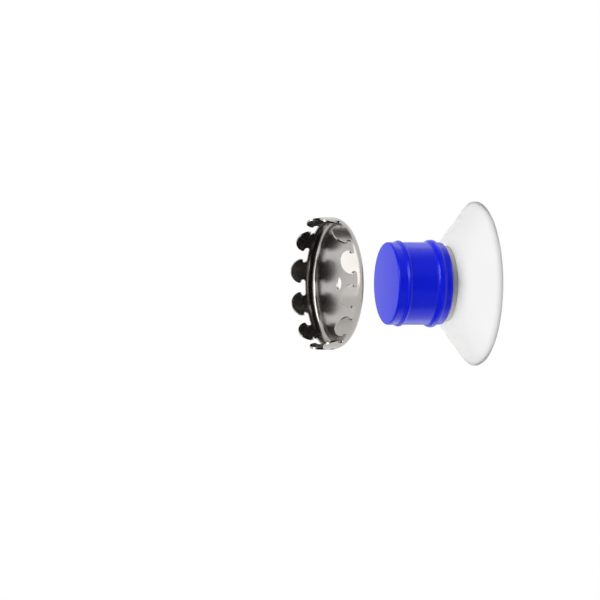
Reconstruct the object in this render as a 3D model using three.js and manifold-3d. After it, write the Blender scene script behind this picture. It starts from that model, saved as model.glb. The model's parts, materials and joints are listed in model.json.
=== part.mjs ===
// Magnetic soap holder: a toothed steel crown, a blue magnet head and a clear suction cup on one axis.
// Millimetres, +Z up. The axis lies along X, the wall is the plane X = 0 and the crown faces -X.
import * as THREE from "three";
import { mergeVertices } from "three/addons/utils/BufferGeometryUtils.js";
import Module from "manifold-3d";

// Clearances
const FIT_GAP = 0.3; // between pieces that turn, slide or snap together
const SEAT_GAP = 0.1; // between flat faces that rest on each other

// Suction cup
const LIP_RADIUS = 22.5;
const LIP_EDGE = 0.5; // rounding of the lip's outer edge
const LIP_LAND = 0.7; // width of the flat ring that meets the wall
const CUP_DEPTH = 8.7; // from the wall to the shoulder around the boss
const SHOULDER_WIDTH = 3.3;
const SHOULDER_DROP = 0.3; // how far the shoulder slopes back to the skirt
const SHOULDER_WALL = 2.2; // thickness over the hollow
const BOSS_RADIUS = 10.2;
const BOSS_LENGTH = 1.35;
const BOSS_EDGE = 0.4; // rounding at both ends of the boss
const NECK_RADIUS = 3;
const KNOB_RADIUS = 4.6;
const KNOB_LENGTH = 3;
const KNOB_RIM = 1; // straight rim of the knob, before its round tip
const KNOB_TIP_RADIUS = 2;

// Magnet head
const MAGNET_RADIUS = 9;
const MAGNET_LENGTH = 4;
const KEEPER_LENGTH = 1.5;
const DISC_EDGE = 0.3; // chamfer on the magnet and the keeper plate
const SHELL_WALL = 2;
const FACE_WALL = 1.2;
const FACE_EDGE = 0.5; // rounding around the front face
const FRONT_STUB_LENGTH = 2.75;
const BEAD_WIDTH = 1.1;
const BEAD_HEIGHT = 0.45;
const WAIST_LENGTH = 6.9;
const FLANGE_WIDTH = 2.85; // the thick bead on the rear cap
const FLANGE_CREST = 1.2; // from the rear of the flange to its highest ring
const FLANGE_HEIGHT = 0.7;
const REAR_STUB_LENGTH = 1.75;
const REAR_EDGE = 0.7; // rounding around the rear face
const REAR_PLATE = 2;
const SOCKET_WALL = 1.1;
const SPIGOT_WALL = 1.3;
const SNAP_HEIGHT = 0.35;
const SNAP_WIDTH = 1;
const SNAP_SETBACK = 1.6; // from the flange to the middle of the snap rib

// Crown
const CROWN_RADIUS = 18;
const CROWN_SHEET = 0.5;
const CROWN_FOLD = 2.7; // outside radius where the floor turns up into the wall
const CROWN_BAND = 0.1; // plain wall between the fold and the gaps
const CROWN_HOLE_RADIUS = 1.7;
const TOOTH_COUNT = 12;
const TOOTH_LENGTH = 4.5;
const TOOTH_ANGLE = 11.5; // degrees from +Y towards +Z to the first tooth
const TOOTH_FLAT = 0.06; // how much of the round tip the blank's edge trims off
const GAP_MOUTH = 2.3; // between the heads of two teeth
const GAP_BASE_WIDTH = 4.5;
const GAP_BASE_HEIGHT = 1.6;
const EAR_HEIGHT = 0.65; // of the rounded ear where a tooth's head overhangs the gap's base
const CROWN_BALANCE = 1.44; // from the outside of the floor to the crown's centre of mass
const CROWN_REST_GAP = 13.1; // from the head's face to the crown as it is drawn off
const CROWN_REST_TURN = 5.5; // degrees that the drawn-off crown is turned from the head

// Finishes
const PRESSED_STEEL = { color: 0xb9b6b2, roughness: 0.25, metalness: 1 };
const BLUE_PLASTIC = { color: 0x1a22c4, roughness: 0.3, metalness: 0 };
const NICKEL_PLATE = { color: 0xb8bcc0, roughness: 0.2, metalness: 1 };
const ZINC_PLATE = { color: 0x9a9c9e, roughness: 0.4, metalness: 1 };
const CLEAR_PVC = { color: 0xf2f2f0, roughness: 0.3, metalness: 0, transparent: true, opacity: 0.5 };

// Fineness
const TURNED_SEGMENTS = 48;
const SEGMENTS_PER_TOOTH = 6;
const ARC_STEPS = 4;
const CURVE_SEGMENTS = 4;
const MERGE_TOLERANCE = 1e-4;
const CUT_MARGIN = 2; // how far a cutter passes the sheet on each side

// Radii of the head
const BORE_RADIUS = MAGNET_RADIUS + FIT_GAP;
const HEAD_RADIUS = BORE_RADIUS + SHELL_WALL;
const SPIGOT_RADIUS = BORE_RADIUS - FIT_GAP;

// Places along the axis, measured from the wall towards the room
const BOSS_END = CUP_DEPTH + BOSS_LENGTH;
const CAP_REAR = BOSS_END + FIT_GAP;
const FLANGE_REAR = CAP_REAR + REAR_STUB_LENGTH;
const FLANGE_TOP = FLANGE_REAR + FLANGE_CREST;
const FLANGE_FRONT = FLANGE_REAR + FLANGE_WIDTH;
const SHELL_REAR = FLANGE_FRONT + FIT_GAP;
const BEAD_REAR = SHELL_REAR + WAIST_LENGTH;
const BEAD_FRONT = BEAD_REAR + BEAD_WIDTH;
const FACE = BEAD_FRONT + FRONT_STUB_LENGTH;
const POCKET_FLOOR = FACE - FACE_WALL;
const MAGNET_REAR = POCKET_FLOOR - SEAT_GAP - MAGNET_LENGTH;
const KEEPER_REAR = MAGNET_REAR - SEAT_GAP - KEEPER_LENGTH;
const SPIGOT_FRONT = KEEPER_REAR - SEAT_GAP;
const SNAP_MIDDLE = FLANGE_FRONT + SNAP_SETBACK;
const PLATE_FRONT = CAP_REAR + REAR_PLATE;
const KNOB_REAR = PLATE_FRONT + FIT_GAP;
const KNOB_FRONT = KNOB_REAR + KNOB_LENGTH;
const CROWN_SEAT = FACE + SEAT_GAP;

// The crown leaves its seat by a swing about an upright line, which brings its centre of mass back onto the axis
const SWING_ANGLE = THREE.MathUtils.degToRad(CROWN_REST_TURN);
const SWING_TRAVEL = CROWN_REST_GAP - SEAT_GAP;
const SWING_ALONG = CROWN_SEAT + CROWN_BALANCE + SWING_TRAVEL / 2;
const SWING_REACH = SWING_TRAVEL / 2 / Math.tan(SWING_ANGLE / 2);

const wasm = await Module();
wasm.setup();

/** Points on an elliptical arc in the half-plane of a profile, its angles in degrees from the axis. */
function arc(along, radius, alongSize, radiusSize, from, to) {
  const points = [];
  for (let step = 0; step <= ARC_STEPS; step += 1) {
    const angle = THREE.MathUtils.degToRad(from + ((to - from) * step) / ARC_STEPS);
    points.push([along + alongSize * Math.cos(angle), radius + radiusSize * Math.sin(angle)]);
  }
  return points;
}

/** A solid turned about the X axis, from points [distance along -X, radius]. */
function turned(profile, segments = TURNED_SEGMENTS) {
  const points = profile.map(([along, radius]) => new THREE.Vector2(radius, along));
  return new THREE.LatheGeometry(points, segments).rotateZ(Math.PI / 2);
}

function solidFrom(geometry) {
  const bare = geometry.clone();
  bare.deleteAttribute("normal");
  bare.deleteAttribute("uv");
  const merged = mergeVertices(bare, MERGE_TOLERANCE);
  const vertProperties = merged.attributes.position.array;
  const triVerts = new Uint32Array(merged.index.array);
  return new wasm.Manifold(new wasm.Mesh({ numProp: 3, vertProperties, triVerts }));
}

function geometryFrom(solid) {
  const mesh = solid.getMesh();
  const geometry = new THREE.BufferGeometry();
  geometry.setAttribute("position", new THREE.BufferAttribute(mesh.vertProperties, 3));
  geometry.setIndex(new THREE.BufferAttribute(mesh.triVerts, 1));
  geometry.computeVertexNormals();
  return geometry;
}

/** The suction cup: hollow, lip, conical skirt, shoulder, boss, neck and mushroom knob in one turning. */
function suctionCup() {
  const shoulderRadius = BOSS_RADIUS + SHOULDER_WIDTH;
  const shoulderAlong = CUP_DEPTH - SHOULDER_DROP;
  const lipCentre = LIP_RADIUS - LIP_EDGE;
  const skirtSlope = Math.atan2(shoulderAlong - LIP_EDGE, lipCentre - shoulderRadius);
  const skirtTurn = THREE.MathUtils.radToDeg(skirtSlope);
  const hollowDepth = CUP_DEPTH - SHOULDER_WALL;
  const knobTip = KNOB_LENGTH - KNOB_RIM;
  return turned([
    [hollowDepth, 0],
    ...arc(hollowDepth - SHOULDER_WALL, BOSS_RADIUS, SHOULDER_WALL, SHOULDER_WALL, 0, skirtTurn),
    [0, lipCentre - LIP_LAND],
    ...arc(LIP_EDGE, lipCentre, LIP_EDGE, LIP_EDGE, 180, skirtTurn),
    [shoulderAlong, shoulderRadius],
    ...arc(CUP_DEPTH + BOSS_EDGE, BOSS_RADIUS + BOSS_EDGE, BOSS_EDGE, BOSS_EDGE, 180, 270),
    ...arc(BOSS_END - BOSS_EDGE, BOSS_RADIUS - BOSS_EDGE, BOSS_EDGE, BOSS_EDGE, 90, 0),
    [BOSS_END, NECK_RADIUS],
    [KNOB_REAR, NECK_RADIUS],
    [KNOB_REAR, KNOB_RADIUS],
    ...arc(KNOB_REAR + KNOB_RIM, KNOB_TIP_RADIUS, knobTip, KNOB_RADIUS - KNOB_TIP_RADIUS, 90, 0),
    [KNOB_FRONT, 0],
  ]);
}

/** The rear cap: flange and stub outside, a spigot with its snap rib, and the socket for the cup's knob. */
function rearCap() {
  const socketRadius = KNOB_RADIUS + FIT_GAP;
  const socketFront = KNOB_FRONT + FIT_GAP;
  const spigotBore = SPIGOT_RADIUS - SPIGOT_WALL;
  const holeRadius = NECK_RADIUS + FIT_GAP;
  return turned([
    [CAP_REAR, holeRadius],
    ...arc(CAP_REAR + REAR_EDGE, HEAD_RADIUS - REAR_EDGE, REAR_EDGE, REAR_EDGE, 180, 90),
    ...arc(FLANGE_TOP, HEAD_RADIUS, FLANGE_CREST, FLANGE_HEIGHT, 180, 90),
    ...arc(FLANGE_TOP, HEAD_RADIUS, FLANGE_WIDTH - FLANGE_CREST, FLANGE_HEIGHT, 90, 0).slice(1),
    [FLANGE_FRONT, SPIGOT_RADIUS],
    ...arc(SNAP_MIDDLE, SPIGOT_RADIUS, SNAP_WIDTH / 2, SNAP_HEIGHT, 180, 0),
    [SPIGOT_FRONT, SPIGOT_RADIUS],
    [SPIGOT_FRONT, spigotBore],
    [PLATE_FRONT, spigotBore],
    [PLATE_FRONT, socketRadius + SOCKET_WALL],
    [socketFront, socketRadius + SOCKET_WALL],
    [socketFront, socketRadius],
    [PLATE_FRONT, socketRadius],
    [PLATE_FRONT, holeRadius],
    [CAP_REAR, holeRadius],
  ]);
}

/** The magnet shell: a cup closed at the front, with a thin bead outside and a snap groove in its bore. */
function magnetShell() {
  const grooveReach = SNAP_WIDTH / 2 + FIT_GAP;
  return turned([
    [POCKET_FLOOR, 0],
    [POCKET_FLOOR, BORE_RADIUS],
    ...arc(SNAP_MIDDLE, BORE_RADIUS, grooveReach, SNAP_HEIGHT, 0, 180),
    [SHELL_REAR, BORE_RADIUS],
    [SHELL_REAR, HEAD_RADIUS],
    ...arc(BEAD_REAR + BEAD_WIDTH / 2, HEAD_RADIUS, BEAD_WIDTH / 2, BEAD_HEIGHT, 180, 0),
    ...arc(FACE - FACE_EDGE, HEAD_RADIUS - FACE_EDGE, FACE_EDGE, FACE_EDGE, 90, 0),
    [FACE, 0],
  ]);
}

/** A round disc with chamfered edges, from its rear face. */
function disc(rear, length) {
  return turned([
    [rear, 0],
    [rear, MAGNET_RADIUS - DISC_EDGE],
    [rear + DISC_EDGE, MAGNET_RADIUS],
    [rear + length - DISC_EDGE, MAGNET_RADIUS],
    [rear + length, MAGNET_RADIUS - DISC_EDGE],
    [rear + length, 0],
  ]);
}

/** The outline of one gap between two teeth, across the gap and up from its base. */
function gapOutline() {
  const pitch = 2 * CROWN_RADIUS * Math.sin(Math.PI / TOOTH_COUNT);
  const headRadius = (pitch - GAP_MOUTH) / 2;
  const headHeight = TOOTH_LENGTH - headRadius;
  const corner = GAP_BASE_HEIGHT / 2;
  const cornerAcross = GAP_BASE_WIDTH / 2 - corner;
  const earAcross = GAP_MOUTH / 2;
  const headEndHeight = GAP_BASE_HEIGHT + EAR_HEIGHT;
  const earTurn = Math.asin((headEndHeight - headHeight) / headRadius);
  const headEndAcross = pitch / 2 - headRadius * Math.cos(earTurn);
  const outline = new THREE.Shape();
  outline.moveTo(-pitch / 2, TOOTH_LENGTH);
  outline.absarc(-pitch / 2, headHeight, headRadius, Math.PI / 2, earTurn, true);
  outline.quadraticCurveTo(-earAcross, GAP_BASE_HEIGHT, -cornerAcross, GAP_BASE_HEIGHT);
  outline.absarc(-cornerAcross, corner, corner, Math.PI / 2, Math.PI * 1.5, false);
  outline.absarc(cornerAcross, corner, corner, -Math.PI / 2, Math.PI / 2, false);
  outline.quadraticCurveTo(earAcross, GAP_BASE_HEIGHT, headEndAcross, headEndHeight);
  outline.absarc(pitch / 2, headHeight, headRadius, Math.PI - earTurn, Math.PI / 2, true);
  return outline;
}

/** A cutter for the gap at +Y: its outline pushed radially through the wall. */
function gapCutter() {
  const depth = CROWN_SHEET + 2 * CUT_MARGIN;
  const cutter = new THREE.ExtrudeGeometry(gapOutline(), {
    depth,
    bevelEnabled: false,
    curveSegments: CURVE_SEGMENTS,
  });
  const across = new THREE.Vector3(0, 0, -1);
  const up = new THREE.Vector3(-1, 0, 0);
  const out = new THREE.Vector3(0, 1, 0);
  cutter.applyMatrix4(new THREE.Matrix4().makeBasis(across, up, out));
  const gapBase = CROWN_FOLD + CROWN_BAND;
  return cutter.translate(-gapBase, CROWN_RADIUS + CUT_MARGIN - depth, 0);
}

/** The crown, from the outside of its floor: a folded pan whose wall is cut into teeth. */
function crown() {
  const height = CROWN_FOLD + CROWN_BAND + TOOTH_LENGTH - TOOTH_FLAT;
  const floorRadius = CROWN_RADIUS - CROWN_FOLD;
  const innerFold = CROWN_FOLD - CROWN_SHEET;
  const pan = turned(
    [
      [0, CROWN_HOLE_RADIUS],
      ...arc(CROWN_FOLD, floorRadius, CROWN_FOLD, CROWN_FOLD, 180, 90),
      [height, CROWN_RADIUS],
      [height, CROWN_RADIUS - CROWN_SHEET],
      ...arc(CROWN_FOLD, floorRadius, innerFold, innerFold, 90, 180),
      [CROWN_SHEET, CROWN_HOLE_RADIUS],
      [0, CROWN_HOLE_RADIUS],
    ],
    SEGMENTS_PER_TOOTH * TOOTH_COUNT,
  );
  let solid = solidFrom(pan);
  const cutter = gapCutter();
  for (let gap = 0; gap < TOOTH_COUNT; gap += 1) {
    const angle = ((gap + 0.5) * 2 * Math.PI) / TOOTH_COUNT;
    solid = solid.subtract(solidFrom(cutter.clone().rotateX(angle)));
  }
  return geometryFrom(solid);
}

function piece(name, geometry, finish) {
  const mesh = new THREE.Mesh(geometry, new THREE.MeshStandardMaterial(finish));
  mesh.name = name;
  return mesh;
}

const crownMesh = piece("crown", crown(), PRESSED_STEEL);
crownMesh.position.set(SWING_ALONG - CROWN_SEAT, SWING_REACH, 0);
crownMesh.rotation.x = THREE.MathUtils.degToRad(TOOTH_ANGLE);

const swing = new THREE.Group();
swing.position.set(-SWING_ALONG, -SWING_REACH, 0);
swing.rotation.z = SWING_ANGLE;
swing.add(crownMesh);

const holder = new THREE.Group();
holder.add(
  piece("suction_cup", suctionCup(), CLEAR_PVC),
  piece("rear_cap", rearCap(), BLUE_PLASTIC),
  piece("magnet_shell", magnetShell(), BLUE_PLASTIC),
  piece("magnet", disc(MAGNET_REAR, MAGNET_LENGTH), NICKEL_PLATE),
  piece("keeper_plate", disc(KEEPER_REAR, KEEPER_LENGTH), ZINC_PLATE),
  swing,
);

export default holder;
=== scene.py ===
"""Magnetic soap holder: a toothed steel crown, a blue magnet head and a clear suction cup on one axis."""

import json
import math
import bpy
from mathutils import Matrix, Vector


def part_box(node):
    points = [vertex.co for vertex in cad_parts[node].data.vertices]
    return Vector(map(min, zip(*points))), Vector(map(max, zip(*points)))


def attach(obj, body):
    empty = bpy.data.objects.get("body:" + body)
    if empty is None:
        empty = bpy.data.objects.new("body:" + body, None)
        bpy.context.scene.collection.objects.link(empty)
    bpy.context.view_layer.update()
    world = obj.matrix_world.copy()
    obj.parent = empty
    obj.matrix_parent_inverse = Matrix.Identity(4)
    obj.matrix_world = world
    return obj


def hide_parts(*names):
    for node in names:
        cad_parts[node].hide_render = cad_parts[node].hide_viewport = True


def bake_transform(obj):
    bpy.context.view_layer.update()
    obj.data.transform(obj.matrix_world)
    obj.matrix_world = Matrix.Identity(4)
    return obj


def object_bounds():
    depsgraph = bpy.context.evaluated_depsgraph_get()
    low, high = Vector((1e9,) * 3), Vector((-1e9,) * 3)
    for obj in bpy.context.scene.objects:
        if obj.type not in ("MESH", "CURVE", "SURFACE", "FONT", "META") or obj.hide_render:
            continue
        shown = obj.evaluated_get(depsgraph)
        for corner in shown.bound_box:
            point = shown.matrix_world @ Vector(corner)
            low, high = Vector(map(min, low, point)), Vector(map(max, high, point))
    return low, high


bl_info = {
    "name": "Magnetic Soap Holder",
    "version": (1, 0, 0),
    "blender": (4, 5, 0),
    "location": "View3D > Sidebar > Soap Holder",
    "description": "Models and dresses a magnetic soap holder around its packed solids",
    "category": "Object",
}

import bmesh
import bpy
from mathutils import Matrix, Vector

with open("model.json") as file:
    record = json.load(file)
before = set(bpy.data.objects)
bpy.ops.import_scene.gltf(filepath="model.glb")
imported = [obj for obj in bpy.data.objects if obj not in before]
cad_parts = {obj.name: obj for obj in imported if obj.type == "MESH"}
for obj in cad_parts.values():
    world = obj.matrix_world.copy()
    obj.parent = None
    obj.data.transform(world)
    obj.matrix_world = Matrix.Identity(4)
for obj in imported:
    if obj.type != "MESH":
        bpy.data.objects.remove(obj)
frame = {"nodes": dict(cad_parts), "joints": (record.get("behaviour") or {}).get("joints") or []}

# The holder's axis lies along X. The wall is at X = 0, and places along the axis are measured from it,
# towards -X.
MM = 0.001
CAD_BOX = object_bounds()
SHELL_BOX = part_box("magnet_shell")
CAP_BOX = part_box("rear_cap")
CUP_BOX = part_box("suction_cup")
MAGNET_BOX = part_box("magnet")

# Clearances and lengths that other places are worked out from
FIT_GAP = 0.3 * MM
SEAT_GAP = 0.1 * MM
SEAM_GAP = 0.05 * MM
BEAD_HEIGHT = 0.45 * MM
KNOB_LENGTH = 3.0 * MM
BOSS_LENGTH = 1.35 * MM

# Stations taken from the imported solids, measured from the wall
HEAD_REAR = -CAP_BOX[1].x
SHELL_REAR = -SHELL_BOX[1].x
FLANGE_FRONT = SHELL_REAR - FIT_GAP
KNOB_FRONT = -CUP_BOX[0].x
CUP_DEPTH = HEAD_REAR - FIT_GAP - BOSS_LENGTH

# Where the rounds of the two beads end and their hollows begin, in degrees
THIN_BEAD_END = 30
THICK_REAR_END = 25
THICK_FRONT_END = 18
FRONT_HOLLOW_START = 33

# Shares of a hollow's radius by which the two halves of the thick bead are narrowed
REAR_NARROWING = 0.78
FRONT_NARROWING = 0.69

# Fineness of the meshes
TURN_STEPS = 160
ARC_STEPS = 10
WALL_ROWS = 6
FLOOR_RINGS = 6
BASE_STEPS = 3
CORNER_STEPS = 5
EAR_STEPS = 6
HEAD_STEPS = 14
WELD = 0.001 * MM
POINT_SIZE = 0.01 * MM
SMOOTH_ANGLE = math.radians(30)

# Sockets of a colour Mix node, by number because their names repeat
MIX_SHARE = 0
MIX_FROM = 6
MIX_TO = 7
MIXED = 2


def linear(hex_colour):
    """An sRGB hex colour as linear red, green and blue."""
    channels = [int(hex_colour[start : start + 2], 16) / 255 for start in (1, 3, 5)]
    return [c / 12.92 if c <= 0.04045 else ((c + 0.055) / 1.055) ** 2.4 for c in channels]


def node_points(node):
    """The points of a CAD node."""
    return [vertex.co for vertex in frame["nodes"][node].data.vertices]


def reach(places):
    """The largest distance of some points from the axis."""
    return max(math.hypot(co.y, co.z) for co in places)


def swing_off():
    """The turn that takes the crown from its seat on the head to its rest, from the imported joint."""
    joint = next(item for item in frame["joints"] if item["name"] == "crown_pull")
    pivot = Vector(joint["pos_m"])
    turn = Matrix.Rotation(math.radians(-joint["range_deg"][0]), 4, Vector(joint["axis"]))
    return Matrix.Translation(pivot) @ turn @ Matrix.Translation(-pivot)


SWING_OFF = swing_off()
SEATED_CROWN = [SWING_OFF.inverted() @ co for co in node_points("crown")]
CROWN_FLOOR = min(-co.x for co in SEATED_CROWN)
CROWN_TIPS = max(-co.x for co in SEATED_CROWN)
CROWN_REACH = reach(SEATED_CROWN)
SHELL_REACH = reach(node_points("magnet_shell"))
CAP_REACH = reach(node_points("rear_cap"))
CUP_REACH = reach(node_points("suction_cup"))


def distance(name, description, default):
    """A length property in metres."""
    return bpy.props.FloatProperty(
        name=name, description=description, default=default, precision=5, subtype="DISTANCE", unit="LENGTH"
    )


def colour(name, description, hex_colour):
    """A colour property, given as an sRGB hex value."""
    return bpy.props.FloatVectorProperty(
        name=name,
        description=description,
        default=linear(hex_colour),
        min=0,
        max=1,
        size=3,
        subtype="COLOR",
    )


def angle(name, description, degrees):
    """An angle property, given in degrees."""
    return bpy.props.FloatProperty(
        name=name, description=description, default=math.radians(degrees), subtype="ANGLE", unit="ROTATION"
    )


class SOAP_PG_crown(bpy.types.PropertyGroup):
    """Sizes and colour of the toothed crown."""

    floor: distance("Floor", "Outside of the seated floor, from the wall", CROWN_FLOOR)
    radius: distance("Radius", "Outside of the wall", CROWN_REACH)
    tips: distance("Tips", "Ends of the seated teeth, from the wall", CROWN_TIPS)
    sheet: distance("Sheet", "Thickness of the steel", 0.5 * MM)
    fold: distance("Fold", "Outside radius where the floor turns up into the wall", 2.7 * MM)
    band: distance("Band", "Plain wall between the fold and the gaps", 0.1 * MM)
    hole: distance("Hole", "Radius of the hole in the floor", 1.7 * MM)
    teeth: bpy.props.IntProperty(name="Teeth", description="Number of teeth", default=12, min=3)
    tooth_angle: angle("First tooth", "From +Y towards +Z to the middle of the first tooth", 11.5)
    tooth_length: distance("Tooth length", "From the foot of a gap to a tooth's round tip", 4.5 * MM)
    gap_mouth: distance("Gap mouth", "Between the heads of two teeth", 2.3 * MM)
    gap_width: distance("Gap width", "Width of a gap at its base", 4.5 * MM)
    gap_height: distance("Gap height", "Height of a gap's wide base", 1.6 * MM)
    ear_height: distance("Ear height", "Rounded ear where a head overhangs the gap", 0.65 * MM)
    steel: colour("Steel", "Bright pressed stainless steel", "#b4b0ac")


class SOAP_PG_head(bpy.types.PropertyGroup):
    """Sizes and colour of the blue magnet head."""

    radius: distance("Radius", "Outside of the waist and the stubs", SHELL_REACH - BEAD_HEIGHT)
    face: distance("Face", "Front face, from the wall", -SHELL_BOX[0].x)
    face_edge: distance("Face edge", "Rounding around the front face", 0.5 * MM)
    stub: distance("Front stub", "From the face to the thin bead", 2.75 * MM)
    bead_width: distance("Bead width", "Width of the thin bead", 1.1 * MM)
    bead_fillet: distance("Bead fillet", "Hollow rounding in front of the thin bead", 0.5 * MM)
    shell_rear: distance("Shell rear", "Rear end of the shell, from the wall", FLANGE_FRONT + SEAM_GAP)
    seam_edge: distance("Seam edge", "Rounding of the shell's rear end", 0.05 * MM)
    bore: distance("Bore", "Inside radius of the shell", 9.3 * MM)
    pocket: distance("Pocket", "Front of the magnet's pocket, from the wall", SEAT_GAP - MAGNET_BOX[0].x)
    flange_front: distance("Flange front", "Front of the thick bead, from the wall", FLANGE_FRONT)
    flange_width: distance("Flange width", "Width of the thick bead with its hollows", 2.85 * MM)
    flange_crest: distance("Flange crest", "From the rear of the thick bead to its highest ring", 1.2 * MM)
    flange_hollow: distance("Flange hollow", "Hollow rounding on both sides of the thick bead", 0.5 * MM)
    rear: distance("Rear", "Rear face, from the wall", HEAD_REAR)
    rear_edge: distance("Rear edge", "Rounding around the rear face", 0.7 * MM)
    spigot_front: distance("Spigot front", "Front end of the cap's spigot, from the wall", -CAP_BOX[0].x)
    spigot_radius: distance("Spigot radius", "Outside of the cap's spigot", 9.0 * MM)
    spigot_bore: distance("Spigot bore", "Inside of the cap's spigot", 7.7 * MM)
    snap: distance("Snap", "Middle of the snap rib, from the wall", FLANGE_FRONT + 1.6 * MM)
    snap_width: distance("Snap width", "Width of the snap rib", 1.0 * MM)
    snap_height: distance("Snap height", "Height of the snap rib", 0.35 * MM)
    snap_gap: distance("Snap gap", "Clearance of the rib in its groove", FIT_GAP)
    plate: distance("Plate", "Front of the rear plate, from the wall", HEAD_REAR + 2.0 * MM)
    hole: distance("Hole", "Radius of the hole for the cup's neck", 3.3 * MM)
    socket: distance("Socket", "Inside radius of the socket for the cup's knob", 4.9 * MM)
    socket_wall: distance("Socket wall", "Thickness of the socket", 1.1 * MM)
    socket_front: distance("Socket front", "Front end of the socket, from the wall", KNOB_FRONT + FIT_GAP)
    plastic: colour("Plastic", "Blue moulded polypropylene", "#021aee")


class SOAP_PG_cup(bpy.types.PropertyGroup):
    """Sizes and colours of the clear suction cup."""

    radius: distance("Radius", "Outside of the lip", CUP_REACH)
    lip_edge: distance("Lip edge", "Rounding of the lip", 0.5 * MM)
    lip_land: distance("Lip land", "Flat ring that meets the wall", 0.7 * MM)
    depth: distance("Depth", "From the wall to the shoulder around the boss", CUP_DEPTH)
    shoulder_width: distance("Shoulder width", "Width of the shoulder", 3.3 * MM)
    shoulder_drop: distance("Shoulder drop", "Slope of the shoulder back to the skirt", 0.3 * MM)
    shoulder_round: distance("Shoulder rounding", "Where the shoulder turns into the skirt", 6.0 * MM)
    shoulder_wall: distance("Shoulder wall", "Thickness over the hollow", 2.2 * MM)
    boss_radius: distance("Boss radius", "Outside of the boss", 10.2 * MM)
    boss_length: distance("Boss length", "Length of the boss", BOSS_LENGTH)
    boss_edge: distance("Boss edge", "Rounding at the free end of the boss", 0.2 * MM)
    boss_foot: distance("Boss foot", "Hollow rounding at the foot of the boss", 0.6 * MM)
    hollow_radius: distance("Hollow radius", "Flat end of the hollow, to its unrounded corner", 10.7 * MM)
    neck: distance("Neck", "Radius of the neck behind the knob", 3.0 * MM)
    knob_radius: distance("Knob radius", "Outside of the knob", 4.6 * MM)
    knob_rear: distance("Knob rear", "Rear of the knob, from the wall", KNOB_FRONT - KNOB_LENGTH)
    knob_rim: distance("Knob rim", "Straight rim of the knob", 1.0 * MM)
    knob_front: distance("Knob front", "Front of the knob, from the wall", KNOB_FRONT)
    knob_tip: distance("Knob tip", "Radius of the knob's flat tip", 2.0 * MM)
    # Painted shade: the lip gets a grey band painted over this width
    lip_shade_band: distance("Lip band", "Width of the grey band where the lip catches light", 1.6 * MM)
    pvc: colour("PVC", "Clear soft PVC", "#fdfdfd")
    # Painted shade: the grey painted on the lip's edge
    lip_painted_shade_pvc: colour("Lip PVC", "The lip's edge, where light is caught", "#b4b4b4")
    # Painted shade and light: the boss's side is painted dark grey as the head's shade, its free end pale as
    # light
    boss_side_painted_shade: colour("Boss PVC", "The frosted side of the boss", "#a3a19f")
    boss_end_painted_light: colour("Boss end PVC", "The frosted free end of the boss, seen through the cup", "#f0f0ee")


class SOAP_PG_stage(bpy.types.PropertyGroup):
    """Camera, floor and light."""

    azimuth: angle("Azimuth", "Camera's direction round the holder, from -Y", -17.5)
    aim: bpy.props.FloatVectorProperty(
        name="Aim",
        description="Point in the middle of the picture",
        default=(-46.1 * MM, 14.5 * MM, -4.5 * MM),
        size=3,
        subtype="TRANSLATION",
        unit="LENGTH",
    )
    camera_distance: distance("Camera distance", "From the camera to the aim point", 1643 * MM)
    lens: bpy.props.FloatProperty(
        name="Lens", description="Focal length in millimetres", default=360, subtype="DISTANCE_CAMERA"
    )
    floor_drop: distance("Floor drop", "From the axis down to the floor", 300 * MM)
    floor_size: distance("Floor size", "Side of the square floor", 7000 * MM)
    floor: colour("Floor", "Pale matt floor", "#f4f4f2")
    floor_glow: bpy.props.FloatProperty(
        name="Floor glow", description="What makes the floor look as pale as the room", default=0.46
    )
    ambient: bpy.props.FloatProperty(
        name="Ambient", description="Strength of the white room as it lights the holder", default=0.6
    )


class SOAP_PG_holder(bpy.types.PropertyGroup):
    """Everything that can be set."""

    crown: bpy.props.PointerProperty(type=SOAP_PG_crown)
    head: bpy.props.PointerProperty(type=SOAP_PG_head)
    cup: bpy.props.PointerProperty(type=SOAP_PG_cup)
    stage: bpy.props.PointerProperty(type=SOAP_PG_stage)


def arc(along, radius, along_size, radius_size, start, end, steps=ARC_STEPS):
    """Points on an elliptical arc of a profile, its angles in degrees from the axis outwards."""
    curve = []
    for step in range(steps + 1):
        turn = math.radians(start + (end - start) * step / steps)
        curve.append((along + along_size * math.cos(turn), radius + radius_size * math.sin(turn)))
    return curve


def rounded(corner, first, last, radius):
    """Points that round a corner of a profile, between the directions its two sides face, in degrees."""
    turns = (math.radians(first), math.radians(last))
    share = radius / (1 + math.cos(turns[0] - turns[1]))
    along = corner[0] - share * sum(math.cos(turn) for turn in turns)
    across = corner[1] - share * sum(math.sin(turn) for turn in turns)
    return arc(along, across, radius, radius, first, last)


def place(along, radius, turn=0.0):
    """A point by its distance from the wall, its distance from the axis and its turn from +Y towards +Z."""
    return Vector((-along, radius * math.cos(turn), radius * math.sin(turn)))


def begin(name):
    """Takes the newly added primitive as a piece: its name is set and its place goes into its mesh."""
    piece = bpy.context.object
    piece.name = name
    piece.data.name = name
    bpy.ops.object.transform_apply(location=True, rotation=True, scale=True)
    return piece


def turned(name, profile):
    """A piece whose profile is extruded from one vertex, point by point, and spun about the axis."""
    bpy.ops.object.select_all(action="DESELECT")
    bpy.ops.mesh.primitive_plane_add(size=POINT_SIZE, location=place(*profile[0]))
    piece = begin(name)
    bpy.ops.object.mode_set(mode="EDIT")
    bpy.ops.mesh.select_all(action="SELECT")
    bpy.ops.mesh.merge(type="CENTER")
    for here, there in zip(profile, profile[1:]):
        step = place(*there) - place(*here)
        bpy.ops.mesh.extrude_region_move(TRANSFORM_OT_translate={"value": step})
    bpy.ops.mesh.select_all(action="SELECT")
    bpy.ops.mesh.spin(steps=TURN_STEPS, angle=math.tau, center=(0, 0, 0), axis=(1, 0, 0))
    close_mesh()
    return piece


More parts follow.
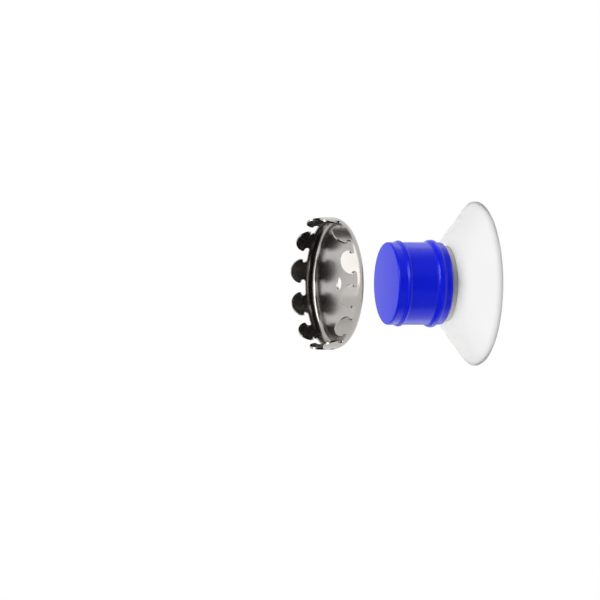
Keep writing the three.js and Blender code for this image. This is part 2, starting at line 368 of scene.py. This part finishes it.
def close_mesh():
    """Merges the doubles of the mesh in edit mode, turns its faces outwards and leaves edit mode."""
    bpy.ops.mesh.select_all(action="SELECT")
    bpy.ops.mesh.remove_doubles(threshold=WELD)
    bpy.ops.mesh.normals_make_consistent(inside=False)
    bpy.ops.object.mode_set(mode="OBJECT")


def select_vertices(piece, wanted):
    """Selects the vertices of the mesh in edit mode whose place passes the test."""
    bpy.ops.mesh.select_all(action="DESELECT")
    bpy.ops.mesh.select_mode(type="VERT")
    mesh = bmesh.from_edit_mesh(piece.data)
    for vertex in mesh.verts:
        vertex.select = wanted(vertex.co)
    mesh.select_flush(True)
    bmesh.update_edit_mesh(piece.data)


def finish(piece, material, slot, *nodes):
    """Shades a piece, gives it its material and lets it stand for its CAD nodes."""
    bpy.ops.object.shade_smooth_by_angle(angle=SMOOTH_ANGLE)
    piece.data.materials.clear()
    piece.data.materials.append(material)
    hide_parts(*nodes)


def gap_side(crown):
    """One side of a gap, from mid-base to the tooth's tip, as points (across, height) in two runs."""
    pitch = 2 * crown.radius * math.sin(math.pi / crown.teeth)
    head_radius = (pitch - crown.gap_mouth) / 2
    head_height = crown.tooth_length - head_radius
    corner = crown.gap_height / 2
    corner_across = crown.gap_width / 2 - corner
    tip_height = crown.tips - crown.floor - crown.fold - crown.band
    tip_turn = math.degrees(math.asin((tip_height - head_height) / head_radius))
    ear_top = crown.gap_height + crown.ear_height
    ear_turn = math.degrees(math.asin((ear_top - head_height) / head_radius))

    base = [(corner_across * step / BASE_STEPS, 0.0) for step in range(BASE_STEPS)]
    low_corner = arc(corner_across, corner, corner, corner, -90, 0, CORNER_STEPS)
    high_corner = arc(corner_across, corner, corner, corner, 0, 90, CORNER_STEPS)
    head = arc(pitch / 2, head_height, head_radius, head_radius, 180 - ear_turn, 180 - tip_turn, HEAD_STEPS)
    controls = (high_corner[-1], (crown.gap_mouth / 2, crown.gap_height), head[0])
    ear = []
    for step in range(1, EAR_STEPS):
        share = step / EAR_STEPS
        weights = ((1 - share) ** 2, 2 * share * (1 - share), share**2)
        ear.append(tuple(sum(w * p[axis] for w, p in zip(weights, controls)) for axis in (0, 1)))
    return base + low_corner, high_corner[1:] + ear + head


def gap_ribs(crown):
    """Pairs of points (turn, height): one on a gap's side, its partner at the wall's foot or mid-tooth."""
    half_pitch = math.pi / crown.teeth
    low, high = gap_side(crown)
    ribs = []
    for index, (across, height) in enumerate(low):
        foot = half_pitch * index / (len(low) - 1)
        ribs.append(((math.asin(across / crown.radius), height), (foot, -crown.band)))
    lengths = [math.dist(a, b) for a, b in zip([low[-1], *high], high)]
    run = 0.0
    for (across, height), length in zip(high, lengths):
        run += length / sum(lengths)
        middle = run * (high[-1][1] + crown.band) - crown.band
        ribs.append(((math.asin(across / crown.radius), height), (half_pitch, middle)))
    mirrored = [((-a[0], a[1]), (-b[0], b[1])) for a, b in reversed(ribs[1:])]
    return mirrored + ribs


def crown_wall(crown):
    """The crown's wall: a grid laid round one gap with half a tooth on each side, copied round the axis."""
    ribs = gap_ribs(crown)
    columns = len(ribs) - 1
    gap_middle = crown.tooth_angle + math.pi / crown.teeth
    bpy.ops.object.select_all(action="DESELECT")
    bpy.ops.mesh.primitive_grid_add(
        x_subdivisions=columns, y_subdivisions=WALL_ROWS, size=crown.tooth_length
    )
    piece = begin("steel_crown")
    for index, vertex in enumerate(piece.data.vertices):
        row, column = divmod(index, columns + 1)
        share = row / WALL_ROWS
        (turn, height), (far_turn, far_height) = ribs[column]
        along = crown.floor + crown.fold + crown.band + height + share * (far_height - height)
        vertex.co = place(along, crown.radius, gap_middle + turn + share * (far_turn - turn))
    bpy.ops.object.mode_set(mode="EDIT")
    bpy.ops.mesh.select_all(action="SELECT")
    last = math.tau * (crown.teeth - 1) / crown.teeth
    bpy.ops.mesh.spin(steps=crown.teeth - 1, dupli=True, angle=last, center=(0, 0, 0), axis=(1, 0, 0))
    bpy.ops.mesh.select_all(action="SELECT")
    bpy.ops.mesh.remove_doubles(threshold=WELD)
    return piece


def crown_floor(crown, piece):
    """Draws the fold and the floor in from the wall's foot: its edge is extruded and scaled to the axis."""
    foot = -(crown.floor + crown.fold)
    select_vertices(piece, lambda co: abs(co.x - foot) < WELD)
    inner = crown.radius - crown.fold
    profile = arc(crown.floor + crown.fold, inner, crown.fold, crown.fold, 90, 180)
    for ring in range(1, FLOOR_RINGS + 1):
        profile.append((crown.floor, inner + (crown.hole - inner) * ring / FLOOR_RINGS))
    for (along, radius), (next_along, next_radius) in zip(profile, profile[1:]):
        step = (along - next_along, 0, 0)
        scale = next_radius / radius
        bpy.ops.mesh.extrude_edges_move(TRANSFORM_OT_translate={"value": step})
        bpy.ops.transform.resize(value=(1, scale, scale), center_override=(0, 0, 0))
    close_mesh()


def thicken(piece, sheet):
    """Gives a piece's skin the thickness of its sheet, inwards."""
    modifier = piece.modifiers.new("Sheet", "SOLIDIFY")
    modifier.thickness = sheet
    modifier.offset = -1
    modifier.use_quality_normals = True
    bpy.ops.object.modifier_apply(modifier=modifier.name)


class SOAP_OT_crown(bpy.types.Operator):
    """Models the toothed crown as one pressing of sheet steel"""

    bl_idname = "soap_holder.crown"
    bl_label = "Crown"

    def execute(self, context):
        crown = context.scene.soap_holder.crown
        piece = crown_wall(crown)
        crown_floor(crown, piece)
        thicken(piece, crown.sheet)
        piece.matrix_world = SWING_OFF
        bpy.ops.object.transform_apply(location=True, rotation=True, scale=True)
        finish(piece, pressed_stainless(crown.steel), "pressed_steel", "crown")
        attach(piece, "crown")
        return {"FINISHED"}


def shell_profile(head):
    """The shell: pocket and bore, snap groove, waist, thin bead with its fillet, front stub and face."""
    groove = head.snap_width / 2 + head.snap_gap
    bead_front = head.face - head.stub
    bead_middle = bead_front - head.bead_width / 2
    bead_height = SHELL_REACH - head.radius
    fillet = head.bead_fillet
    seam = head.seam_edge
    edge = head.face_edge
    return [
        (head.pocket, 0.0),
        (head.pocket, head.bore),
        *arc(head.snap, head.bore, groove, head.snap_height, 0, 180),
        (head.shell_rear, head.bore),
        *arc(head.shell_rear + seam, head.radius - seam, seam, seam, 180, 90),
        *arc(bead_middle, head.radius, head.bead_width / 2, bead_height, 180, THIN_BEAD_END),
        *arc(bead_front + fillet, head.radius + fillet, fillet, fillet, 180 + THIN_BEAD_END, 270),
        *arc(head.face - edge, head.radius - edge, edge, edge, 90, 0),
        (head.face, 0.0),
    ]


def cap_profile(head):
    """The rear cap: rear plate, stub, thick bead, spigot with its snap rib, and the socket for the knob."""
    flange_height = CAP_REACH - head.radius
    flange_rear = head.flange_front - head.flange_width
    flange_top = flange_rear + head.flange_crest
    hollow = head.flange_hollow
    rear_half = head.flange_crest - hollow * REAR_NARROWING
    front_half = head.flange_width - head.flange_crest - hollow * FRONT_NARROWING
    socket_outside = head.socket + head.socket_wall
    edge = head.rear_edge
    return [
        (head.rear, head.hole),
        *arc(head.rear + edge, head.radius - edge, edge, edge, 180, 90),
        *arc(flange_rear, head.radius + hollow, hollow, hollow, -90, -THICK_REAR_END),
        *arc(flange_top, head.radius, rear_half, flange_height, 180 - THICK_REAR_END, 90),
        *arc(flange_top, head.radius, front_half, flange_height, 90, THICK_FRONT_END)[1:],
        *arc(head.flange_front, head.radius + hollow, hollow, hollow, 180 + FRONT_HOLLOW_START, 270),
        (head.flange_front, head.spigot_radius),
        *arc(head.snap, head.spigot_radius, head.snap_width / 2, head.snap_height, 180, 0),
        (head.spigot_front, head.spigot_radius),
        (head.spigot_front, head.spigot_bore),
        (head.plate, head.spigot_bore),
        (head.plate, socket_outside),
        (head.socket_front, socket_outside),
        (head.socket_front, head.socket),
        (head.plate, head.socket),
        (head.plate, head.hole),
        (head.rear, head.hole),
    ]


class SOAP_OT_head(bpy.types.Operator):
    """Models the two blue mouldings of the magnet head"""

    bl_idname = "soap_holder.head"
    bl_label = "Magnet Head"

    def execute(self, context):
        head = context.scene.soap_holder.head
        plastic = blue_polypropylene(head.plastic)
        shell = turned("blue_shell", shell_profile(head))
        finish(shell, plastic, "blue_plastic", "magnet_shell")
        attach(shell, "head")
        cap = turned("blue_cap", cap_profile(head))
        finish(cap, plastic, "blue_plastic", "rear_cap")
        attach(cap, "base")
        # The steel's blurred mirror shows the pale room and the cards, and not the head
        for piece in (shell, cap):
            piece.visible_glossy = False
        return {"FINISHED"}


def cup_profile(cup):
    """The suction cup: hollow, lip, conical skirt, shoulder, boss, neck and knob."""
    shoulder_radius = cup.boss_radius + cup.shoulder_width
    shoulder_along = cup.depth - cup.shoulder_drop
    lip_middle = cup.radius - cup.lip_edge
    skirt = math.degrees(math.atan2(shoulder_along - cup.lip_edge, lip_middle - shoulder_radius))
    hollow = cup.depth - cup.shoulder_wall
    boss_end = cup.depth + cup.boss_length
    edge = cup.boss_edge
    foot = cup.boss_foot
    lip_inside = lip_middle - cup.lip_land
    shoulder = math.degrees(math.atan2(cup.shoulder_drop, cup.shoulder_width))
    inside = math.degrees(math.atan2(hollow, lip_inside - cup.hollow_radius))
    tip_length = cup.knob_front - cup.knob_rear - cup.knob_rim
    tip_height = cup.knob_radius - cup.knob_tip
    return [
        (hollow, 0.0),
        *rounded((hollow, cup.hollow_radius), 0, inside, cup.shoulder_round),
        (0.0, lip_inside),
        *arc(cup.lip_edge, lip_middle, cup.lip_edge, cup.lip_edge, 180, skirt),
        *rounded((shoulder_along, shoulder_radius), skirt, shoulder, cup.shoulder_round),
        *arc(cup.depth + foot, cup.boss_radius + foot, foot, foot, 180, 270),
        *arc(boss_end - edge, cup.boss_radius - edge, edge, edge, 90, 0),
        (boss_end, cup.neck),
        (cup.knob_rear, cup.neck),
        (cup.knob_rear, cup.knob_radius),
        *arc(cup.knob_rear + cup.knob_rim, cup.knob_tip, tip_length, tip_height, 90, 0),
        (cup.knob_front, 0.0),
    ]


def frost(piece, material, start, end):
    """Gives the faces of a piece between two places along the axis a frosted material."""
    piece.data.materials.append(material)
    for face in piece.data.polygons:
        if start < -face.center.x < end:
            face.material_index = len(piece.data.materials) - 1


class SOAP_OT_cup(bpy.types.Operator):
    """Models the clear suction cup at rest; the real skirt flattens as the head is pressed to the wall"""

    bl_idname = "soap_holder.cup"
    bl_label = "Suction Cup"

    def execute(self, context):
        cup = context.scene.soap_holder.cup
        piece = turned("clear_cup", cup_profile(cup))
        finish(piece, clear_pvc(cup), "clear_pvc", "suction_cup")
        boss_start = cup.depth + cup.boss_foot / 3
        boss_end = cup.depth + cup.boss_length
        # Painted shade on the boss's side and painted light on its free end, as two colours of one frosted
        # PVC
        frost(piece, frosted_pvc("frosted_pvc_painted_shade", cup.boss_side_painted_shade), boss_start, boss_end - WELD)
        frost(piece, frosted_pvc("frosted_pvc_painted_light", cup.boss_end_painted_light), boss_end - WELD, boss_end + WELD)
        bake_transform(piece)
        return {"FINISHED"}


class SOAP_OT_discs(bpy.types.Operator):
    """Gives the magnet and the keeper plate their plated finishes"""

    bl_idname = "soap_holder.discs"
    bl_label = "Magnet and Keeper"

    def execute(self, context):
        for node, material in (("magnet", nickel_plate()), ("keeper_plate", zinc_plate())):
            frame["nodes"][node].data.materials.clear()
            frame["nodes"][node].data.materials.append(material)
        return {"FINISHED"}


def add_node(tree, kind, inputs=None, **settings):
    """Adds a node with its settings; each input is given as a value, or as a socket to link from."""
    made = tree.nodes.new(kind)
    for name, value in settings.items():
        setattr(made, name, value)
    for name, value in (inputs or {}).items():
        if isinstance(value, bpy.types.NodeSocket):
            tree.links.new(value, made.inputs[name])
        else:
            made.inputs[name].default_value = value
    return made


def new_material(name, values):
    """A material with a Principled shader: its tree, its shader, and the place in the piece's own frame."""
    material = bpy.data.materials.new(name)
    material.use_nodes = True
    tree = material.node_tree
    shader = tree.nodes["Principled BSDF"]
    for socket, value in values.items():
        shader.inputs[socket].default_value = value
    where = add_node(tree, "ShaderNodeTexCoord").outputs["Object"]
    return material, tree, shader, where


def rgba(rgb):
    """A colour with full alpha."""
    return (*rgb, 1.0)


def shaded(rgb, share):
    """A colour made lighter or darker by a share, with full alpha."""
    return rgba(min(1.0, channel * share) for channel in rgb)


def pressed_stainless(steel):
    """Stainless sheet, bright rolled and pressed: a blurred mirror with rolling grain and gentle waves."""
    material, tree, shader, where = new_material("pressed_stainless_steel", {"Metallic": 1.0})
    grain_spacing = 0.5 * MM
    wave_spacing = 7 * MM
    grain = add_node(
        tree, "ShaderNodeTexNoise", {"Vector": where, "Scale": 1 / grain_spacing, "Detail": 3.0}
    )
    wave = add_node(tree, "ShaderNodeTexNoise", {"Vector": where, "Scale": 1 / wave_spacing, "Detail": 1.0})
    tint = add_node(
        tree,
        "ShaderNodeMix",
        {MIX_SHARE: wave.outputs["Fac"], MIX_FROM: shaded(steel, 0.9), MIX_TO: shaded(steel, 1.06)},
        data_type="RGBA",
    )
    rough = add_node(
        tree, "ShaderNodeMapRange", {"Value": grain.outputs["Fac"], "To Min": 0.17, "To Max": 0.27}
    )
    ripple = add_node(
        tree, "ShaderNodeBump", {"Height": wave.outputs["Fac"], "Strength": 0.25, "Distance": 0.15 * MM}
    )
    surface = add_node(
        tree,
        "ShaderNodeBump",
        {
            "Height": grain.outputs["Fac"],
            "Normal": ripple.outputs["Normal"],
            "Strength": 0.1,
            "Distance": 0.01 * MM,
        },
    )
    tree.links.new(tint.outputs[MIXED], shader.inputs["Base Color"])
    tree.links.new(rough.outputs["Result"], shader.inputs["Roughness"])
    tree.links.new(surface.outputs["Normal"], shader.inputs["Normal"])
    return material


def blue_polypropylene(plastic):
    """Polypropylene, moulded in a polished mould: deep colour, soft gloss and faint flow marks."""
    material, tree, shader, where = new_material(
        "blue_moulded_polypropylene",
        {"IOR": 1.36, "Specular IOR Level": 0.25, "Sheen Weight": 0.1, "Sheen Roughness": 0.4},
    )
    flow_spacing = 4 * MM
    texture_spacing = 0.35 * MM
    flow = add_node(
        tree,
        "ShaderNodeTexNoise",
        {"Vector": where, "Scale": 1 / flow_spacing, "Detail": 2.0, "Distortion": 1.2},
    )
    texture = add_node(
        tree, "ShaderNodeTexNoise", {"Vector": where, "Scale": 1 / texture_spacing, "Detail": 2.0}
    )
    tint = add_node(
        tree,
        "ShaderNodeMix",
        {MIX_SHARE: flow.outputs["Fac"], MIX_FROM: shaded(plastic, 0.93), MIX_TO: shaded(plastic, 1.07)},
        data_type="RGBA",
    )
    rough = add_node(
        tree, "ShaderNodeMapRange", {"Value": texture.outputs["Fac"], "To Min": 0.2, "To Max": 0.3}
    )
    surface = add_node(
        tree, "ShaderNodeBump", {"Height": texture.outputs["Fac"], "Strength": 0.05, "Distance": 0.02 * MM}
    )
    tree.links.new(tint.outputs[MIXED], shader.inputs["Base Color"])
    tree.links.new(rough.outputs["Result"], shader.inputs["Roughness"])
    tree.links.new(surface.outputs["Normal"], shader.inputs["Normal"])
    return material


def clear_pvc(cup):
    """Soft clear PVC, moulded: a faint milky haze, and painted shade: a soft grey band painted round the
    lip.
    """
    material, tree, shader, where = new_material(
        "clear_soft_pvc",
        {"IOR": 1.25, "Transmission Weight": 0.95, "Roughness": 0.3, "Specular IOR Level": 0.4},
    )
    haze_spacing = 9 * MM
    lip_shade_falloff = 2.0
    haze = add_node(tree, "ShaderNodeTexNoise", {"Vector": where, "Scale": 1 / haze_spacing, "Detail": 1.0})
    tint = add_node(
        tree,
        "ShaderNodeMix",
        {MIX_SHARE: haze.outputs["Fac"], MIX_FROM: shaded(cup.pvc, 0.98), MIX_TO: rgba(cup.pvc)},
        data_type="RGBA",
    )
    across = add_node(tree, "ShaderNodeVectorMath", {0: where, 1: (0.0, 1.0, 1.0)}, operation="MULTIPLY")
    radius = add_node(tree, "ShaderNodeVectorMath", {0: across.outputs["Vector"]}, operation="LENGTH")
    rise = add_node(
        tree,
        "ShaderNodeMapRange",
        {"Value": radius.outputs["Value"], "From Min": cup.radius - cup.lip_shade_band, "From Max": cup.radius},
    )
    # Painted shade: the share of grey grows towards the lip's edge, more steeply by the falloff
    painted_lip_shade = add_node(
        tree, "ShaderNodeMath", {0: rise.outputs["Result"], 1: lip_shade_falloff}, operation="POWER"
    )
    lip = add_node(
        tree,
        "ShaderNodeMix",
        {MIX_SHARE: painted_lip_shade.outputs["Value"], MIX_FROM: tint.outputs[MIXED], MIX_TO: rgba(cup.lip_painted_shade_pvc)},
        data_type="RGBA",
    )
    tree.links.new(lip.outputs[MIXED], shader.inputs["Base Color"])
    return material


def frosted_pvc(name, pvc):
    """Soft PVC on the boss, frosted by the mould's eroded face: dull, finely pitted and nearly opaque."""
    material, tree, shader, where = new_material(
        name, {"IOR": 1.4, "Transmission Weight": 0.1, "Roughness": 0.45, "Specular IOR Level": 0.3}
    )
    # The colour given is painted: dark grey for shade on the boss's side, pale for light at its free end
    pit_spacing = 0.3 * MM
    pits = add_node(tree, "ShaderNodeTexNoise", {"Vector": where, "Scale": 1 / pit_spacing, "Detail": 2.0})
    tint = add_node(
        tree,
        "ShaderNodeMix",
        {MIX_SHARE: pits.outputs["Fac"], MIX_FROM: shaded(pvc, 0.9), MIX_TO: shaded(pvc, 1.1)},
        data_type="RGBA",
    )
    surface = add_node(
        tree, "ShaderNodeBump", {"Height": pits.outputs["Fac"], "Strength": 0.1, "Distance": 0.02 * MM}
    )
    tree.links.new(tint.outputs[MIXED], shader.inputs["Base Color"])
    tree.links.new(surface.outputs["Normal"], shader.inputs["Normal"])
    return material


def nickel_plate():
    """Bright nickel plate over a sintered magnet: a warm, slightly orange-peeled mirror."""
    material, tree, shader, where = new_material("bright_nickel_plate", {"Metallic": 1.0})
    peel_spacing = 0.8 * MM
    nickel = linear("#c8c3b8")
    peel = add_node(tree, "ShaderNodeTexNoise", {"Vector": where, "Scale": 1 / peel_spacing, "Detail": 2.0})
    tint = add_node(
        tree,
        "ShaderNodeMix",
        {MIX_SHARE: peel.outputs["Fac"], MIX_FROM: shaded(nickel, 0.92), MIX_TO: rgba(nickel)},
        data_type="RGBA",
    )
    rough = add_node(
        tree, "ShaderNodeMapRange", {"Value": peel.outputs["Fac"], "To Min": 0.1, "To Max": 0.2}
    )
    surface = add_node(
        tree, "ShaderNodeBump", {"Height": peel.outputs["Fac"], "Strength": 0.1, "Distance": 0.02 * MM}
    )
    tree.links.new(tint.outputs[MIXED], shader.inputs["Base Color"])
    tree.links.new(rough.outputs["Result"], shader.inputs["Roughness"])
    tree.links.new(surface.outputs["Normal"], shader.inputs["Normal"])
    return material


def zinc_plate():
    """Zinc plated mild steel: a cool grey with a fine crystalline spangle."""
    material, tree, shader, where = new_material("zinc_plated_steel", {"Metallic": 1.0})
    spangle_size = 1.2 * MM
    zinc = linear("#aab0b4")
    spangle = add_node(tree, "ShaderNodeTexVoronoi", {"Vector": where, "Scale": 1 / spangle_size})
    tint = add_node(
        tree,
        "ShaderNodeMix",
        {MIX_SHARE: spangle.outputs["Distance"], MIX_FROM: shaded(zinc, 0.88), MIX_TO: rgba(zinc)},
        data_type="RGBA",
    )
    rough = add_node(
        tree, "ShaderNodeMapRange", {"Value": spangle.outputs["Distance"], "To Min": 0.3, "To Max": 0.45}
    )
    tree.links.new(tint.outputs[MIXED], shader.inputs["Base Color"])
    tree.links.new(rough.outputs["Result"], shader.inputs["Roughness"])
    return material


def add_camera(stage):
    """The camera, level with the holder and a little to the crown's side of square."""
    out = Vector((math.sin(stage.azimuth), -math.cos(stage.azimuth), 0.0))
    where = Vector(stage.aim) + out * stage.camera_distance
    bpy.ops.object.camera_add(location=where, rotation=(math.pi / 2, 0, stage.azimuth))
    camera = bpy.context.object
    camera.data.lens = stage.lens
    camera.data.clip_start = stage.camera_distance / 100
    camera.data.clip_end = stage.camera_distance * 10
    bpy.context.scene.camera = camera


def facing(direction, away):
    """Where a lamp or a card stands, in a direction from the holder, and its turn to face the holder."""
    towards = Vector(direction).normalized()
    middle = (CAD_BOX[0] + CAD_BOX[1]) / 2
    return middle + towards * away, towards.to_track_quat("Z", "Y").to_euler()


def hide_from(item, rays):
    """Makes a lamp or a card unseen by some kinds of rays."""
    for ray in rays:
        setattr(item, "visible_" + ray, False)


def add_softbox(name, direction, away, width, height, radiance, only=(), unseen_by=()):
    """A soft lamp that faces the holder. It may light only some pieces, which then alone shade it."""
    location, turn = facing(direction, away)
    bpy.ops.object.light_add(type="AREA", location=location, rotation=turn)
    lamp = bpy.context.object
    lamp.name = name
    lamp.data.shape = "RECTANGLE"
    lamp.data.size = width
    lamp.data.size_y = height
    lamp.data.energy = radiance * math.pi * width * height
    hide_from(lamp, ("camera", "transmission", *unseen_by))
    if only:
        lit = bpy.data.collections.new(name + "_lights")
        for piece in only:
            lit.objects.link(bpy.data.objects[piece])
        lamp.light_linking.receiver_collection = lit
        lamp.light_linking.blocker_collection = lit


def add_flag(name, direction, away, width, height, shade):
    """A dark card that only mirrors see: it gives the bright metal its dark reflections."""
    location, turn = facing(direction, away)
    bpy.ops.object.select_all(action="DESELECT")
    bpy.ops.mesh.primitive_plane_add(size=1.0, location=location, rotation=turn)
    bpy.context.object.scale = (width, height, 1.0)
    flag = begin(name)
    hide_from(flag, ("camera", "diffuse", "transmission", "shadow", "volume_scatter"))
    material, tree, shader, where = new_material(
        name + "_felt", {"Roughness": 1.0, "Specular IOR Level": 0.0}
    )
    nap_size = 5 * MM
    nap = add_node(tree, "ShaderNodeTexNoise", {"Vector": where, "Scale": 1 / nap_size})
    tint = add_node(
        tree,
        "ShaderNodeMix",
        {MIX_SHARE: nap.outputs["Fac"], MIX_FROM: shaded(shade, 0.9), MIX_TO: rgba(shade)},
        data_type="RGBA",
    )
    tree.links.new(tint.outputs[MIXED], shader.inputs["Base Color"])
    flag.data.materials.append(material)


def add_flags():
    """Cards ahead, above and below for the far teeth, and over and beside the crown for the near ones."""
    dark = linear("#241d1a")
    grey = linear("#6a6662")
    for name, direction, away, width, height, shade in (
        ("front_flag", (-0.57, -0.82, 0.0), 0.6, 1.0, 1.1, dark),
        ("upper_flag", (-0.5, -0.2, 0.85), 0.6, 0.7, 0.8, dark),
        ("lower_flag", (-0.5, -0.25, -0.83), 0.22, 0.37, 0.4, dark),
        ("top_flag", (0.31, 0.15, 0.94), 0.7, 0.3, 0.36, grey),
        ("side_flag", (0.31, -0.95, 0.0), 0.7, 0.3, 0.45, dark),
    ):
        add_flag(name, direction, away, width, height, shade)


def add_lamps():
    """One soft strip for all pieces, then lamps for the teeth, the head's streaks, its face and the boss."""
    crown = ("steel_crown",)
    head = ("blue_shell", "blue_cap")
    cup = ("clear_cup",)
    matt_rays = ("diffuse",)
    mirror_rays = ("glossy",)
    for name, direction, away, width, height, radiance, only, unseen_by in (
        ("side_strip", (-0.98, 0.15, 0.05), 0.5, 0.12, 0.5, 4.0, (), ()),
        ("tooth_fill", (0.31, -0.95, 0.0), 0.65, 0.4, 0.45, 1.0, crown, ()),
        ("tooth_glint", (0.5, -0.71, 0.49), 0.8, 0.78, 1.0, 1.15, crown, ()),
        ("bead_glint", (-0.77, -0.4, 0.36), 0.45, 0.07, 0.2, 50.0, head, matt_rays),
        ("rim_glint", (0.74, -0.67, 0.0), 0.5, 0.06, 0.9, 4.0, head, matt_rays),
        ("waist_glint", (0.3, 0.3, 0.9), 0.5, 0.3, 0.45, 1.6, head, matt_rays),
        ("low_glint", (0.3, 0.3, -0.9), 0.28, 0.3, 0.3, 1.6, head, matt_rays),
        ("face_fill", (-0.95, -0.2, 0.2), 0.6, 0.45, 0.45, 3.0, head, mirror_rays),
        ("upper_boss_fill", (0.0, 0.1, 1.0), 0.28, 0.2, 0.2, 5.0, cup, mirror_rays),
        ("lower_boss_fill", (0.0, 0.1, -1.0), 0.28, 0.2, 0.2, 7.0, cup, mirror_rays),
    ):
        add_softbox(name, direction, away, width, height, radiance, only, unseen_by)


def seen_rays(tree):
    """One for rays that see, mirror or look through to what they meet, and nought for rays that light."""
    path = add_node(tree, "ShaderNodeLightPath")
    seen = path.outputs["Is Camera Ray"]
    for kind in ("Is Glossy Ray", "Is Transmission Ray"):
        either = add_node(tree, "ShaderNodeMath", {0: seen, 1: path.outputs[kind]}, operation="MAXIMUM")
        seen = either.outputs["Value"]
    return seen


def add_floor(stage):
    """A pale floor well below the holder, which takes its shadow."""
    bpy.ops.object.select_all(action="DESELECT")
    bpy.ops.mesh.primitive_plane_add(size=stage.floor_size, location=(0, 0, -stage.floor_drop))
    floor = begin("floor")
    material, tree, shader, where = new_material("pale_matt_floor", {"Roughness": 0.8})
    speck_size = 20 * MM
    speck = add_node(tree, "ShaderNodeTexNoise", {"Vector": where, "Scale": 1 / speck_size})
    tint = add_node(
        tree,
        "ShaderNodeMix",
        {MIX_SHARE: speck.outputs["Fac"], MIX_FROM: shaded(stage.floor, 0.99), MIX_TO: rgba(stage.floor)},
        data_type="RGBA",
    )
    glow = add_node(
        tree, "ShaderNodeMapRange", {"Value": seen_rays(tree), "To Min": 0.0, "To Max": stage.floor_glow}
    )
    tree.links.new(tint.outputs[MIXED], shader.inputs["Base Color"])
    tree.links.new(tint.outputs[MIXED], shader.inputs["Emission Color"])
    tree.links.new(glow.outputs["Result"], shader.inputs["Emission Strength"])
    floor.data.materials.append(material)


def light_world(stage):
    """A white room: plain white where it is seen, mirrored or seen through, and softer as a light."""
    world = bpy.data.worlds.new("white_room")
    world.use_nodes = True
    bpy.context.scene.world = world
    tree = world.node_tree
    strength = add_node(
        tree, "ShaderNodeMapRange", {"Value": seen_rays(tree), "To Min": stage.ambient, "To Max": 1.0}
    )
    background = tree.nodes["Background"]
    background.inputs["Color"].default_value = (1, 1, 1, 1)
    tree.links.new(strength.outputs["Result"], background.inputs["Strength"])


class SOAP_OT_stage(bpy.types.Operator):
    """Sets up the camera, the floor and the light"""

    bl_idname = "soap_holder.stage"
    bl_label = "Stage"

    def execute(self, context):
        stage = context.scene.soap_holder.stage
        context.scene.view_settings.view_transform = "Standard"
        add_camera(stage)
        add_floor(stage)
        light_world(stage)
        add_flags()
        add_lamps()
        return {"FINISHED"}


class SOAP_PT_holder(bpy.types.Panel):
    """Lists the holder's sizes and the steps that model it"""

    bl_label = "Soap Holder"
    bl_idname = "SOAP_PT_holder"
    bl_space_type = "VIEW_3D"
    bl_region_type = "UI"
    bl_category = "Soap Holder"

    def draw(self, context):
        holder = context.scene.soap_holder
        for name, operators in (
            ("crown", (SOAP_OT_crown,)),
            ("head", (SOAP_OT_head, SOAP_OT_discs)),
            ("cup", (SOAP_OT_cup,)),
            ("stage", (SOAP_OT_stage,)),
        ):
            box = self.layout.box()
            for operator in operators:
                box.operator(operator.bl_idname)
            group = getattr(holder, name)
            for key in group.__annotations__:
                box.prop(group, key)


CLASSES = (
    SOAP_PG_crown,
    SOAP_PG_head,
    SOAP_PG_cup,
    SOAP_PG_stage,
    SOAP_PG_holder,
    SOAP_OT_crown,
    SOAP_OT_head,
    SOAP_OT_cup,
    SOAP_OT_discs,
    SOAP_OT_stage,
    SOAP_PT_holder,
)


def register():
    for item in CLASSES:
        bpy.utils.register_class(item)
    bpy.types.Scene.soap_holder = bpy.props.PointerProperty(type=SOAP_PG_holder)


def unregister():
    del bpy.types.Scene.soap_holder
    for item in reversed(CLASSES):
        bpy.utils.unregister_class(item)


def main():
    register()
    bpy.ops.soap_holder.crown()
    bpy.ops.soap_holder.head()
    bpy.ops.soap_holder.cup()
    bpy.ops.soap_holder.discs()
    bpy.ops.soap_holder.stage()


if __name__ == "__main__":
    main()
